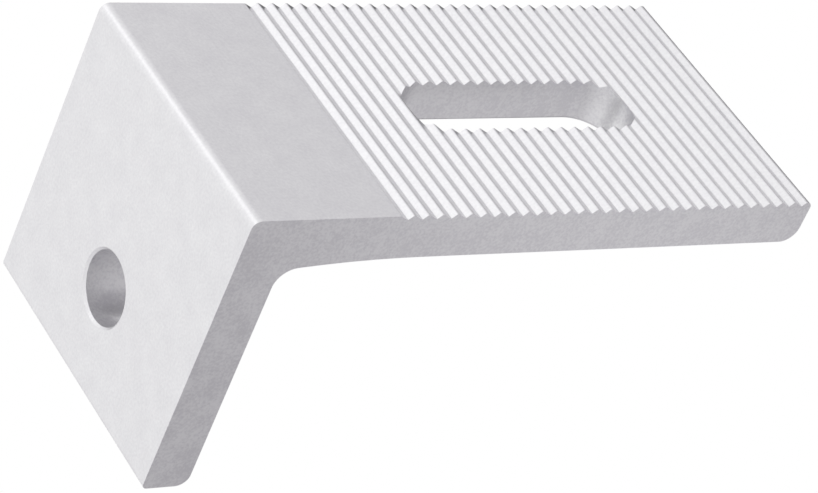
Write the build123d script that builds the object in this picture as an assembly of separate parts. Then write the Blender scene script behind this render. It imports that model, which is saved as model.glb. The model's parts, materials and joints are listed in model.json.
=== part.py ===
from build123d import *

import math
import os

# Solar L foot bracket: one cut length of an extruded aluminium angle, in millimetres.
# The short leg lies flat on the roof with its underside at z = 0. The long leg stands up
# from it along +Z, and its serrated back face looks along -X. The section is extruded
# along Y. The origin is the centre of the roof screw's hole, on the underside.

# Extruded angle
BRACKET_WIDTH = 39.5  # cut length of the extrusion, along Y
LONG_LEG = 80.0  # from the underside of the short leg to the tip of the long leg
SHORT_LEG = 39.0  # from the back of the long leg to the tip of the short leg
LONG_LEG_WALL = 6.0
SHORT_LEG_WALL = 6.0

# Rounding of the section
HEEL_RADIUS = 1.1  # outer corner where the two legs meet
ROOT_RADIUS = 2.75  # inner corner where the two legs meet
ROOT_SWELL = 1.15  # extra wall that the long leg has where it enters the short leg
ROOT_SWELL_TOP = 25.0  # height at which that extra wall has run out
TOE_TOP_RADIUS = 1.6  # tip of the short leg, upper corner
TOE_BOTTOM_RADIUS = 0.7  # tip of the short leg, lower corner
TIP_FRONT_RADIUS = 2.2  # tip of the long leg, on the side of the short leg
TIP_BACK_RADIUS = 0.8  # tip of the long leg, on the serrated side

# Serrations across the back of the long leg
TOOTH_PITCH = 2.0
FIRST_VALLEY = 20.5  # height of the lowest valley
VALLEY_DEPTH = 0.55  # below the smooth part of the back face, before rounding
CREST_RISE = 0.13  # above the smooth part of the back face, before rounding
STEEP_RUN = 0.68  # height taken by the steep, lower flank of a tooth
CREST_RADIUS = 0.25
VALLEY_RADIUS = 0.12

# Holes
SCREW_HOLE_DIAMETER = 9.0  # roof screw, through the short leg
SCREW_HOLE_FROM_BACK = 26.0  # from the back of the long leg to the hole's axis
SCREW_HOLE_CHAMFER = 0.3  # both mouths are deburred
SLOT_WIDTH = 9.0  # rail bolt, through the long leg
SLOT_LENGTH = 33.0  # end to end
SLOT_CENTRE = 48.0  # height of the slot's centre
SLOT_CHAMFER = 0.5  # deburred on the smooth side of the leg only

BACK_X = -SCREW_HOLE_FROM_BACK
INNER_X = BACK_X + LONG_LEG_WALL
TOE_X = BACK_X + SHORT_LEG
STEEP_SLOPE = (VALLEY_DEPTH + CREST_RISE) / STEEP_RUN
GENTLE_SLOPE = (VALLEY_DEPTH + CREST_RISE) / (TOOTH_PITCH - STEEP_RUN)


def serration_valleys():
    """Valleys up the back face, as many as leave room for the tip's rounded corner."""
    last_flank = VALLEY_DEPTH / STEEP_SLOPE
    room = LONG_LEG - TIP_BACK_RADIUS - last_flank - FIRST_VALLEY
    count = math.floor(room / TOOTH_PITCH) + 1
    return [(BACK_X + VALLEY_DEPTH, FIRST_VALLEY + n * TOOTH_PITCH) for n in range(count)]


def round_corners(section, corners, radius):
    """The section with one radius on each of the corners."""
    vertices = [section.vertices().sort_by_distance(corner)[0] for corner in corners]
    return fillet(vertices, radius)


def make_section():
    """The angle's section in X and Z: a serrated long leg on a plain short leg."""
    valleys = serration_valleys()
    crests = [(BACK_X - CREST_RISE, z + STEEP_RUN) for x, z in valleys[:-1]]
    first_flank_top = (BACK_X, FIRST_VALLEY - VALLEY_DEPTH / GENTLE_SLOPE)
    last_flank_top = (BACK_X, valleys[-1][1] + VALLEY_DEPTH / STEEP_SLOPE)
    serrations = [corner for tooth in zip(valleys, crests) for corner in tooth]

    heel = (BACK_X, 0.0)
    toe_bottom = (TOE_X, 0.0)
    toe_top = (TOE_X, SHORT_LEG_WALL)
    root = (INNER_X + ROOT_SWELL, SHORT_LEG_WALL)
    swell_top = (INNER_X, ROOT_SWELL_TOP)
    tip_front = (INNER_X, LONG_LEG)
    tip_back = (BACK_X, LONG_LEG)

    back = [heel, first_flank_top, *serrations, valleys[-1], last_flank_top, tip_back]
    outline = [
        Polyline(*back, tip_front, swell_top),
        TangentArc(swell_top, root, tangent=(0, -1)),
        Polyline(root, toe_top, toe_bottom, heel),
    ]
    section = make_face(outline)
    section = round_corners(section, [heel], HEEL_RADIUS)
    section = round_corners(section, [root], ROOT_RADIUS)
    section = round_corners(section, [toe_top], TOE_TOP_RADIUS)
    section = round_corners(section, [toe_bottom], TOE_BOTTOM_RADIUS)
    section = round_corners(section, [tip_front], TIP_FRONT_RADIUS)
    section = round_corners(section, [tip_back], TIP_BACK_RADIUS)
    section = round_corners(section, crests, CREST_RADIUS)
    return round_corners(section, valleys, VALLEY_RADIUS)


def deburr(bracket, mouth_centre, mouth_axis, chamfer_length):
    """The bracket with the rim of the hole or slot that opens at this point chamfered."""
    face = bracket.faces().filter_by(mouth_axis).sort_by_distance(mouth_centre)[0]
    rim = face.inner_wires()[0].edges()
    return bracket.chamfer(chamfer_length, None, rim)


def make_bracket():
    """The section carried along Y, drilled for the screw and slotted for the rail bolt."""
    bracket = extrude(Plane.XZ * make_section(), amount=BRACKET_WIDTH / 2, both=True)

    screw_hole = Pos(0, 0, SHORT_LEG_WALL / 2) * Cylinder(SCREW_HOLE_DIAMETER / 2, 2 * SHORT_LEG_WALL)
    bracket -= screw_hole

    slot_plane = Plane(origin=(BACK_X, 0, SLOT_CENTRE), x_dir=(0, 0, 1), z_dir=(1, 0, 0))
    slot_outline = slot_plane * SlotOverall(SLOT_LENGTH, SLOT_WIDTH)
    bracket -= extrude(slot_outline, amount=2 * LONG_LEG_WALL, both=True)

    bracket = deburr(bracket, (0, 0, 0), Axis.Z, SCREW_HOLE_CHAMFER)
    bracket = deburr(bracket, (0, 0, SHORT_LEG_WALL), Axis.Z, SCREW_HOLE_CHAMFER)
    return deburr(bracket, (INNER_X, 0, SLOT_CENTRE), Axis.X, SLOT_CHAMFER)


os.makedirs("parts", exist_ok=True)
l_foot_bracket = make_bracket()
export_step(l_foot_bracket, "parts/l_foot_bracket.step")
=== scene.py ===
# %% [markdown]
# # Solar L foot bracket
# This bracket carries a solar rail on a roof. It is one short length cut from an extruded
# aluminium angle: a plain short leg with a round hole, and a long leg whose back is serrated
# and slotted. The solid model arrives as a fixed frame that Blender never moves, so this
# lesson is about the studio round a small metal part, and about the finish on it.

# %% Load the frame
import json
import math

import bpy
import numpy as np
from mathutils import Matrix, Vector


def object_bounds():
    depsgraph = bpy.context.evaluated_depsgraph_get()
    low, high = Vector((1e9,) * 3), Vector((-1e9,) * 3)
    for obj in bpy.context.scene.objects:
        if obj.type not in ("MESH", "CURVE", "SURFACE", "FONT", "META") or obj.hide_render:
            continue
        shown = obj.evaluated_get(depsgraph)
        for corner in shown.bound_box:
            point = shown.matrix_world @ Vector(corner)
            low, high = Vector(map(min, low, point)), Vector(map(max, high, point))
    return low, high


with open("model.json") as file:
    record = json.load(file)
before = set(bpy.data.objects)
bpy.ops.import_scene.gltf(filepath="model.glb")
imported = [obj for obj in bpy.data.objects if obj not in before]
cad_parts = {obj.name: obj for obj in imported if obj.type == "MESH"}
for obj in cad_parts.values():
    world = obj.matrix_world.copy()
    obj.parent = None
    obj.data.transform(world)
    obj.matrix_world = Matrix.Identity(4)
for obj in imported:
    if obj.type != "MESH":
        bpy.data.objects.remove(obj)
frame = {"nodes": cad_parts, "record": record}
cad_low, cad_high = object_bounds()
MM = 0.001
bracket = frame["nodes"]["l_foot_bracket"]
size_mm = [round(side / MM, 1) for side in cad_high - cad_low]
print("bracket:", len(bracket.data.polygons), "faces,", size_mm, "mm")

# %% [markdown]
# ## Camera
# The bracket is seen from behind and from below, through a long lens, so that the serrated
# back, the slot, the underside and the hole all show at once and parallel edges stay almost
# parallel. A camera could be aimed with a constraint, but a place on a ball round the bracket,
# given by two angles and a distance, leaves nothing live in the file. The camera is then rolled
# until the long leg lies across the view. It has no shift and no depth of field.

# %% Camera
LENS = 163.0
SENSOR_WIDTH = 36.0
DISTANCE = 445.0 * MM
AZIMUTH = math.radians(229.1)
ELEVATION = math.radians(-35.6)
ROLL = math.radians(87.7)
LOOK_AT = Vector((-4.5, 0.0, 41.0)) * MM
NEAREST_SEEN = 10.0 * MM


def direction(azimuth, elevation):
    """The unit vector at an angle round from +X and an angle up from the ground."""
    flat = math.cos(elevation)
    return Vector((flat * math.cos(azimuth), flat * math.sin(azimuth), math.sin(elevation)))


def make_camera():
    """A camera out along the direction of its two angles, looking back along it and rolled."""
    back = direction(AZIMUTH, ELEVATION)
    level_right = Vector((0.0, 0.0, 1.0)).cross(back).normalized()
    level_up = back.cross(level_right)
    right = level_right * math.cos(ROLL) + level_up * math.sin(ROLL)
    up = back.cross(right)
    data = bpy.data.cameras.new("camera")
    data.lens = LENS
    data.sensor_width = SENSOR_WIDTH
    data.sensor_fit = "HORIZONTAL"
    data.clip_start = NEAREST_SEEN
    camera = bpy.data.objects.new("camera", data)
    turn = Matrix((right, up, back)).transposed().to_4x4()
    camera.matrix_world = Matrix.Translation(LOOK_AT + back * DISTANCE) @ turn
    bpy.context.scene.collection.objects.link(camera)
    bpy.context.scene.camera = camera
    return camera


camera = make_camera()
print("camera at", [round(x / MM) for x in camera.matrix_world.translation], "mm")

# %% [markdown]
# ## Helpers for node trees
# Materials and the world are both trees of nodes, which could be drawn by hand in the node
# editor. Here a helper adds each node, sets its options, and fills each input either with a
# plain value or with a link from another node, so a tree reads like a recipe.

# %% Node helpers
def add_node(tree, kind, inputs=None, **options):
    """A new node. Each input is a value or an output socket to link from."""
    node = tree.nodes.new(kind)
    for name, value in options.items():
        setattr(node, name, value)
    for name, value in (inputs or {}).items():
        if isinstance(value, bpy.types.NodeSocket):
            tree.links.new(value, node.inputs[name])
        else:
            node.inputs[name].default_value = value
    return node


def add_math(tree, operation, first, second=0.0, clamp=False):
    """The output of a math node on two values or sockets."""
    inputs = {0: first, 1: second}
    return add_node(tree, "ShaderNodeMath", inputs, operation=operation, use_clamp=clamp).outputs[0]


def spread(tree, value, low, high, from_low, from_high, **options):
    """A range of the value stretched to run from low to high, and held there outside it."""
    spans = {"Value": value, "From Min": from_low, "From Max": from_high}
    spans.update({"To Min": low, "To Max": high})
    return add_node(tree, "ShaderNodeMapRange", spans, **options).outputs[0]


def blend_colours(tree, share, first, second):
    """The first colour where the share is 0 and the second where it is 1."""
    mix = add_node(tree, "ShaderNodeMix", {"Factor": share}, data_type="RGBA")
    mix.inputs["A"].default_value = first
    mix.inputs["B"].default_value = second
    return mix.outputs["Result"]


def empty_tree(owner):
    """The owner's node tree, switched on and cleared."""
    owner.use_nodes = True
    owner.node_tree.nodes.clear()
    return owner.node_tree


print("node helpers are ready")

# %% [markdown]
# ## World
# The background is plain white. Turning up one strong world would also flood the metal, so
# the world has two strengths: rays that look straight at it, or by way of a reflection, find
# white at a strength of 1, and soft light on dull surfaces comes at a lower one.

# %% World
WHITE = (1.0, 1.0, 1.0, 1.0)
SEEN_STRENGTH = 1.0
FILL_STRENGTH = 0.7


def make_world():
    """White for camera, glossy and transmission rays, and a gentler fill for the rest."""
    world = bpy.data.worlds.new("white_studio")
    tree = empty_tree(world)
    path = add_node(tree, "ShaderNodeLightPath")
    seen = add_math(tree, "ADD", path.outputs["Is Camera Ray"], path.outputs["Is Glossy Ray"])
    seen = add_math(tree, "ADD", seen, path.outputs["Is Transmission Ray"], clamp=True)
    fill = add_node(tree, "ShaderNodeBackground", {"Color": WHITE, "Strength": FILL_STRENGTH})
    white = add_node(tree, "ShaderNodeBackground", {"Color": WHITE, "Strength": SEEN_STRENGTH})
    mix = add_node(tree, "ShaderNodeMixShader", {0: seen, 1: fill.outputs[0], 2: white.outputs[0]})
    add_node(tree, "ShaderNodeOutputWorld", {"Surface": mix.outputs[0]})
    bpy.context.scene.world = world


make_world()
bpy.context.scene.view_settings.view_transform = "Standard"
print("world seen at", SEEN_STRENGTH, "and filling at", FILL_STRENGTH)

# %% [markdown]
# ## Floor
# The floor is a pale disc under the short leg. An endless plane would draw a horizon, so the
# disc fades into the white towards its rim. The camera looks up from below the floor, so the
# disc is one-sided: its lower face is clear. Only the camera sees it, and the metal mirrors
# nothing but the tent of the next step.

# %% Floor
FLOOR_RADIUS = 0.6
FLOOR_FADE_FROM = 0.12
FLOOR_DROP = 0.02 * MM
FLOOR_COLOUR = (0.9, 0.9, 0.905, 1.0)
FLOOR_RINGS, FLOOR_SPOKES = 12, 96
INNER_RING = 0.02


def mesh_object(name, points, faces):
    """A mesh object at the origin from an array of points and an array of face corners."""
    mesh = bpy.data.meshes.new(name)
    mesh.from_pydata(points.tolist(), [], faces.tolist())
    thing = bpy.data.objects.new(name, mesh)
    bpy.context.scene.collection.objects.link(thing)
    return thing


def disc_points(radius, rings, spokes):
    """A polar grid: each point is its ring's radius times the cosine and sine of its angle."""
    ring = np.linspace(INNER_RING, 1.0, rings)[:, None] * radius
    angle = np.linspace(0.0, 2.0 * np.pi, spokes, endpoint=False)[None, :]
    x, y = ring * np.cos(angle), ring * np.sin(angle)
    return np.stack([x, y, np.zeros_like(x)], axis=-1).reshape(-1, 3)


def ring_faces(rings, spokes):
    """Quads between each ring i and the next, from spoke j to k, the last joined to the first."""
    i, j = np.meshgrid(np.arange(rings - 1), np.arange(spokes), indexing="ij")
    k = (j + 1) % spokes
    inner, outer = i * spokes, (i + 1) * spokes
    return np.stack([inner + j, outer + j, outer + k, inner + k], axis=-1).reshape(-1, 4)


def floor_material():
    """Pale and dull from above, clear from below, and clear towards the rim."""
    material = bpy.data.materials.new("floor_paper")
    tree = empty_tree(material)
    place = add_node(tree, "ShaderNodeTexCoord").outputs["Object"]
    far = add_node(tree, "ShaderNodeVectorMath", {0: place}, operation="LENGTH").outputs["Value"]
    soft = {"interpolation_type": "SMOOTHSTEP"}
    fade = spread(tree, far, 1.0, 0.0, FLOOR_FADE_FROM, FLOOR_RADIUS, **soft)
    side = add_node(tree, "ShaderNodeNewGeometry")
    above = add_math(tree, "SUBTRACT", 1.0, side.outputs["Backfacing"])
    solid = add_math(tree, "MULTIPLY", fade, above)
    clear = add_node(tree, "ShaderNodeBsdfTransparent")
    paper = add_node(tree, "ShaderNodeBsdfDiffuse", {"Color": FLOOR_COLOUR})
    shaders = {0: solid, 1: clear.outputs[0], 2: paper.outputs[0]}
    mix = add_node(tree, "ShaderNodeMixShader", shaders)
    add_node(tree, "ShaderNodeOutputMaterial", {"Surface": mix.outputs[0]})
    return material


def show_only_to(thing, camera=False, glossy=False):
    """The thing is seen by camera rays or glossy rays as asked, and by no other kind of ray."""
    thing.visible_camera = camera
    thing.visible_glossy = glossy
    thing.visible_diffuse = False
    thing.visible_transmission = False
    thing.visible_volume_scatter = False
    thing.visible_shadow = False


def make_floor():
    """The disc, a hair under the lowest point of the bracket."""
    points = disc_points(FLOOR_RADIUS, FLOOR_RINGS, FLOOR_SPOKES)
    points[:, 2] = cad_low.z - FLOOR_DROP
    floor = mesh_object("floor", points, ring_faces(FLOOR_RINGS, FLOOR_SPOKES))
    floor.data.materials.append(floor_material())
    show_only_to(floor, camera=True)
    return floor


floor = make_floor()
print("floor:", len(floor.data.polygons), "faces, radius", FLOOR_RADIUS, "m")

# %% [markdown]
# ## Light tent
# Satin metal has little colour of its own: it shows the room. In a white tent that is lit from
# one side, each face mirrors another part of the cloth and takes another grey. Here the tent is
# a box that only the metal sees. Its glow is plain in the middle, brighter towards its bright
# side, and dimmer and a little cooler the other way. Two grey flags hang in it: one where the
# upper flanks of the serrations mirror it, which draws a dark line beside each, and one where
# the near cut end does. Where a flat face looks, seen from the camera, is its mirror direction,
# so that flag and the weak lamps of the next step are placed along it.

# %% Mirror direction
HEEL_FACING, CUT_END_FACING = (-1.0, 0.0, -1.0), (0.0, -1.0, 0.0)


def mirror(normal):
    """Where a face looks: twice the share of the view along its normal, less the view."""
    normal, view = Vector(normal).normalized(), direction(AZIMUTH, ELEVATION)
    return 2.0 * normal.dot(view) * normal - view


print("the cut end looks", [round(x, 2) for x in mirror(CUT_END_FACING)])

# %% Light tent
TENT_HALF = 2.0
TENT_LEVEL = 0.82
TENT_SWING = 0.24
BRIGHT_SIDE = Vector((-0.25, 0.40, -0.80)).normalized()
FLANK_SIDE = Vector((0.30, 0.55, 0.78)).normalized()
FLAGS = {
    "serration_flag": {"side": FLANK_SIDE, "depth": 1.0, "edge": 44, "full": 22},
    "cut_end_flag": {"side": mirror(CUT_END_FACING), "depth": 0.23, "edge": 60, "full": 25},
}
DIM_COLOUR = (0.985, 0.965, 1.0, 1.0)
COOLEST, WARMEST = -0.8, 0.5


def toward(tree, unit, side):
    """How far a unit vector points to a side: 1 straight at it, 0 across it, -1 away from it."""
    inputs = {0: unit, 1: tuple(side)}
    node = add_node(tree, "ShaderNodeVectorMath", inputs, operation="DOT_PRODUCT")
    return node.outputs["Value"]


def shaded(tree, unit, side, depth, edge, full):
    """1 outside a flag's edge and 1 - depth inside its full part, both angles in degrees."""
    edge, full = math.cos(math.radians(edge)), math.cos(math.radians(full))
    return spread(tree, toward(tree, unit, side), 1.0, 1.0 - depth, edge, full)


def tent_material():
    """Glow = (level + swing x (towards the bright side)) x (what each flag leaves of it)."""
    material = bpy.data.materials.new("tent_cloth")
    tree = empty_tree(material)
    place = add_node(tree, "ShaderNodeTexCoord").outputs["Object"]
    unit = add_node(tree, "ShaderNodeVectorMath", {0: place}, operation="NORMALIZE").outputs[0]
    bright = toward(tree, unit, BRIGHT_SIDE)
    glow = spread(tree, bright, TENT_LEVEL - TENT_SWING, TENT_LEVEL + TENT_SWING, -1.0, 1.0)
    for flag in FLAGS.values():
        glow = add_math(tree, "MULTIPLY", glow, shaded(tree, unit, **flag))
    warmth = spread(tree, bright, 0.0, 1.0, COOLEST, WARMEST)
    tint = blend_colours(tree, warmth, DIM_COLOUR, WHITE)
    shine = add_node(tree, "ShaderNodeEmission", {"Color": tint, "Strength": glow})
    add_node(tree, "ShaderNodeOutputMaterial", {"Surface": shine.outputs[0]})
    return material


def make_tent():
    """A box: each corner is a sign on each axis, and each wall holds one sign of one axis."""
    signs = np.array(np.meshgrid([-1, 1], [-1, 1], [-1, 1], indexing="ij")).reshape(3, -1).T
    low_walls = np.array([[0, 1, 3, 2], [0, 4, 5, 1], [0, 2, 6, 4]])
    walls = np.concatenate([low_walls, low_walls + np.array([[4], [2], [1]])])
    tent = mesh_object("tent", signs * TENT_HALF, walls)
    tent.data.materials.append(tent_material())
    show_only_to(tent, glossy=True)
    return tent


tent = make_tent()
print("tent glows from", round(TENT_LEVEL - TENT_SWING, 2), "to", round(TENT_LEVEL + TENT_SWING, 2))

# %% [markdown]
# ## Lamps
# Two weak lamps stand close by. One makes the heel glint and lifts the nearer serrations, and
# one lifts the cut end towards the tip: so near, each lights one end of the bracket more than
# the other, which nothing on the far cloth of the tent could do. A third, overhead, gives the
# floor its soft shadow and is left out of the metal's shine.

# %% Lamps
HEEL = Vector((cad_low.x, 0.0, 0.15 * cad_high.z))
CUT_END_TIP = Vector((cad_low.x + 3.0 * MM, cad_low.y, 0.7 * cad_high.z))
LEG_MIDDLE = Vector((0.0, 0.0, 30.0)) * MM
OVERHEAD = direction(math.radians(142.0), math.radians(60.0))
LAMPS = {
    "heel_key": {"near": HEEL, "look": mirror(HEEL_FACING), "reach": 0.2,
                 "size": 0.12, "power": 0.012, "on_metal": True},
    "tip_fill": {"near": CUT_END_TIP, "look": mirror(CUT_END_FACING), "reach": 0.12,
                 "size": 0.08, "power": 0.0038, "on_metal": True},
    "overhead": {"near": LEG_MIDDLE, "look": OVERHEAD, "reach": 1.15,
                 "size": 0.6, "power": 6.5, "on_metal": False},
}


def make_lamp(name, near, look, reach, size, power, on_metal):
    """A round area lamp at the end of its reach from a point, facing back at that point."""
    data = bpy.data.lights.new(name, "AREA")
    data.shape = "DISK"
    data.size = size
    data.energy = power
    lamp = bpy.data.objects.new(name, data)
    lamp.location = near + look * reach
    lamp.rotation_euler = look.to_track_quat("Z", "Y").to_euler()
    lamp.visible_glossy = on_metal
    lamp.visible_camera = False
    bpy.context.scene.collection.objects.link(lamp)


for name, lamp in LAMPS.items():
    make_lamp(name, **lamp)
print("lamps:", {name: lamp["power"] for name, lamp in LAMPS.items()})

# %% [markdown]
# ## Where the metal was cut
# The bracket is all one metal, but its faces were made in three ways. The die left faint lines
# along the extrusion. The saw left slanting marks on the two cut ends, and the cutters left
# rings round the walls of the hole and slot. The faces could be given three materials, but
# one that finds each face from where it lies keeps the solid model as it came: the ends by
# how far out they are, and the walls by their distance from the middle of the hole or slot.

# %% Where the metal was cut
mounts = {mount["name"]: mount for mount in frame["record"]["mounts"]}
screw_hole, rail_slot = mounts["roof_screw_hole"]["dims"], mounts["rail_bolt_slot"]["dims"]
SLIVER = 0.02 * MM
CUT_END = cad_high.y - SLIVER
HOLE_RADIUS = screw_hole["r_mm"] * MM + SLIVER
SLOT_RADIUS = rail_slot["hole_r_mm"] * MM + SLIVER
SLOT_CENTRE = mounts["rail_bolt_slot"]["pos_m"][2]
SLOT_STRAIGHT = (rail_slot["slot_length_mm"] / 2 - rail_slot["hole_r_mm"]) * MM
hole_mm, slot_mm = round(HOLE_RADIUS / MM, 2), round(SLOT_CENTRE / MM, 1)
print("hole radius", hole_mm, "mm, slot centre", slot_mm, "mm up")


def add_length(tree, first, second):
    """The length of a flat vector from its two parts."""
    flat = add_node(tree, "ShaderNodeCombineXYZ", {0: first, 1: second}).outputs[0]
    return add_node(tree, "ShaderNodeVectorMath", {0: flat}, operation="LENGTH").outputs["Value"]


def in_hole(tree, x, y):
    """1 within the hole's radius of its axis."""
    return add_math(tree, "LESS_THAN", add_length(tree, x, y), HOLE_RADIUS)


def in_slot(tree, y, z):
    """1 within the slot's radius of its middle line, which ends with the straight part."""
    from_centre = add_math(tree, "ABSOLUTE", add_math(tree, "SUBTRACT", z, SLOT_CENTRE))
    past_straight = add_math(tree, "SUBTRACT", from_centre, SLOT_STRAIGHT)
    past_end = add_math(tree, "MAXIMUM", past_straight, 0.0)
    return add_math(tree, "LESS_THAN", add_length(tree, y, past_end), SLOT_RADIUS)


def on_cut_end(tree, y):
    """1 on the two sawn ends, which lie furthest out on either side."""
    return add_math(tree, "GREATER_THAN", add_math(tree, "ABSOLUTE", y), CUT_END)


# %% [markdown]
# ## Marks
# Each kind of mark is a noise on the object's own coordinates, stretched along the way the
# tool went, so it follows the metal from every side. A bitmap of brushed metal would have
# needed seams; noise needs none.

# %% Marks
GRAIN_PER_METRE = 2800.0
MOTTLE_PER_METRE = 300.0
LINE_PER_METRE = 2200.0
STRETCH = 0.012
SAW_TILT = math.radians(25.0)
NOISE_ROUGHNESS = 0.55


def noise(tree, vector, scale, detail):
    """The factor of a noise texture of this many features per metre."""
    inputs = {"Vector": vector, "Scale": scale, "Detail": detail, "Roughness": NOISE_ROUGHNESS}
    return add_node(tree, "ShaderNodeTexNoise", inputs).outputs[0]


def lines(tree, vector, squeeze, turn=(0.0, 0.0, 0.0)):
    """Noise drawn out into lines: each axis is scaled by its squeeze after a turn."""
    inputs = {"Vector": vector, "Rotation": turn, "Scale": squeeze}
    mapping = add_node(tree, "ShaderNodeMapping", inputs)
    return noise(tree, mapping.outputs[0], LINE_PER_METRE, 3.0)


def rings(tree, depth):
    """Noise along one number only, the depth into the wall."""
    inputs = {"W": depth, "Scale": LINE_PER_METRE, "Detail": 3.0}
    return add_node(tree, "ShaderNodeTexNoise", inputs, noise_dimensions="1D").outputs[0]


def choose(tree, mask, off, on):
    """One number where the mask is 0 and another where it is 1."""
    return add_node(tree, "ShaderNodeMix", {"Factor": mask, "A": off, "B": on}).outputs[0]


def tool_marks(tree, here, x, z, hole, wall, worked):
    """Die lines along Y, saw marks tilted from Z on a worked face, and rings on a wall."""
    die_lines = lines(tree, here, (1.0, STRETCH, 1.0))
    saw_marks = lines(tree, here, (1.0, 1.0, STRETCH), (0.0, SAW_TILT, 0.0))
    marks = choose(tree, worked, die_lines, saw_marks)
    return choose(tree, wall, marks, rings(tree, choose(tree, hole, x, z)))


print("marks:", LINE_PER_METRE, "lines and", GRAIN_PER_METRE, "grains a metre")

# %% [markdown]
# ## Satin aluminium
# The bracket is clear anodised aluminium, an even satin. The marks and a fine grain make a
# shallow bump. The colour drifts between two greys with a soft mottle and the same grain, and
# more so on the worked faces. One flat grey would be quicker, but would look like paint.

# %% Satin aluminium
METAL_LIGHT = (0.858, 0.855, 0.868, 1.0)
METAL_DARK = (0.752, 0.745, 0.768, 1.0)
ROUGHNESS_LOW, ROUGHNESS_HIGH = 0.35, 0.43
MARK_DEPTH = 0.012 * MM
MARK_SHARE = 0.6
SPECKLE_SHARE = 1.2
PLAIN_SWING, WORKED_SWING = 0.5, 1.1
NOISE_LOW, NOISE_HIGH = 0.3, 0.7


def drifting_grey(tree, mottle, grain, worked):
    """Share of light grey = 0.5 + swing x (mottle + speckle), each measured from its middle."""
    speckle = spread(tree, grain, -0.5, 0.5, NOISE_LOW, NOISE_HIGH)
    speckle = add_math(tree, "MULTIPLY", speckle, SPECKLE_SHARE)
    drift = add_math(tree, "ADD", add_math(tree, "SUBTRACT", mottle, 0.5), speckle)
    swing = choose(tree, worked, PLAIN_SWING, WORKED_SWING)
    share = add_math(tree, "ADD", add_math(tree, "MULTIPLY", drift, swing), 0.5)
    return blend_colours(tree, share, METAL_DARK, METAL_LIGHT)


def satin_aluminium():
    """One metal under die lines, saw marks or cutter rings, whichever made the face."""
    material = bpy.data.materials.new("satin_aluminium")
    tree = empty_tree(material)
    here = add_node(tree, "ShaderNodeTexCoord").outputs["Object"]
    axes = add_node(tree, "ShaderNodeSeparateXYZ", {"Vector": here})
    x, y, z = (axes.outputs[name] for name in "XYZ")

    hole = in_hole(tree, x, y)
    wall = add_math(tree, "MAXIMUM", hole, in_slot(tree, y, z))
    worked = add_math(tree, "MAXIMUM", wall, on_cut_end(tree, y))

    grain = noise(tree, here, GRAIN_PER_METRE, 2.0)
    marks = tool_marks(tree, here, x, z, hole, wall, worked)
    height = add_math(tree, "ADD", add_math(tree, "MULTIPLY", marks, MARK_SHARE), grain)
    relief = {"Height": height, "Distance": MARK_DEPTH, "Strength": 1.0}
    bump = add_node(tree, "ShaderNodeBump", relief)

    cloud = noise(tree, here, MOTTLE_PER_METRE, 4.0)
    mottle = spread(tree, cloud, 0.0, 1.0, NOISE_LOW, NOISE_HIGH)
    inputs = {
        "Base Color": drifting_grey(tree, mottle, grain, worked),
        "Metallic": 1.0,
        "Roughness": spread(tree, mottle, ROUGHNESS_LOW, ROUGHNESS_HIGH, 0.0, 1.0),
        "Normal": bump.outputs[0],
    }
    shader = add_node(tree, "ShaderNodeBsdfPrincipled", inputs)
    add_node(tree, "ShaderNodeOutputMaterial", {"Surface": shader.outputs[0]})
    return material


bracket.data.materials.clear()
bracket.data.materials.append(satin_aluminium())
print("material on", bracket.name + ":", bracket.data.materials[0].name)
